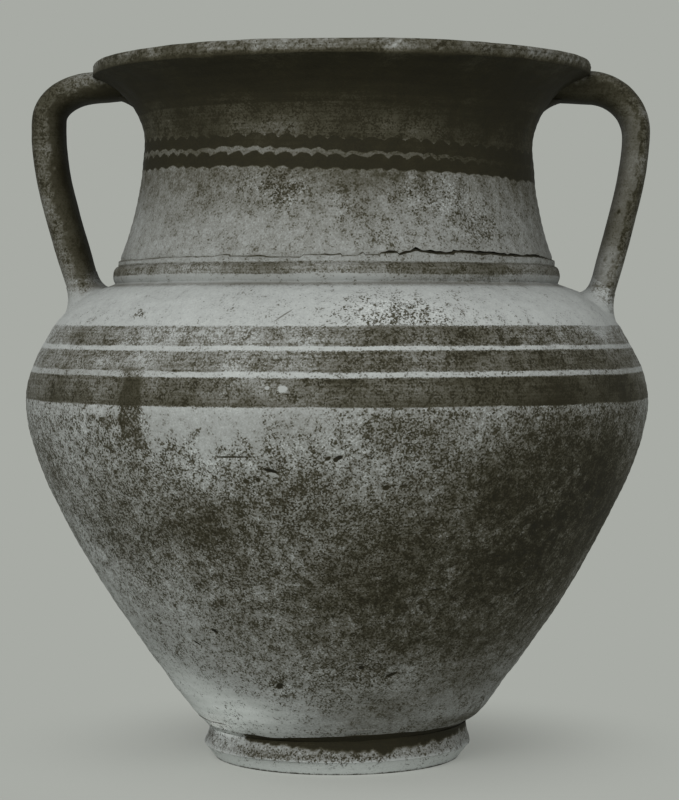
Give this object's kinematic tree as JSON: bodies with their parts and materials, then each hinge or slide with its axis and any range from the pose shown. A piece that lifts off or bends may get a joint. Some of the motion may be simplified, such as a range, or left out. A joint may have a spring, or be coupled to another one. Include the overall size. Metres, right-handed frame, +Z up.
{
  "type": "two-handled clay storage jar",
  "caption": "Wide-mouthed clay storage jar with a broad shoulder, tapering body, ring foot, tall waisted neck, everted rim and strap handles from shoulder to rim, with dark painted bands",
  "frame": {"origin": "on the jar's axis, in the plane of the foot ring's resting face", "axes": "+Z up along the jar's axis from foot to rim; the handles lie on -X (left) and +X (right)"},
  "size_m": [0.5034, 0.5, 0.56],
  "materials": {
    "pale_clay": "fired earthenware with a pale wash, mottled with dark grains",
    "banded_clay": "fired earthenware with a pale wash and worn dark painted bands",
    "dark_slip": "fired earthenware with a worn dark slip",
    "bare_clay": "unslipped fired earthenware, wiped smooth"
  },
  "bodies": {
    "root": {"foot_ring": "pale_clay", "base_disc": "bare_clay", "floor_coil": "bare_clay", "lower_wall": "pale_clay", "middle_wall": "pale_clay", "belly_wall": "banded_clay", "shoulder_wall": "banded_clay", "collar_band": "banded_clay", "neck_coil": "bare_clay", "neck_wall": "banded_clay", "rim": "dark_slip", "left_handle": "dark_slip", "right_handle": "dark_slip", "left_root_lute": "pale_clay", "right_root_lute": "pale_clay", "left_arm_lute": "dark_slip", "right_arm_lute": "dark_slip"}
  },
  "joints": []
}
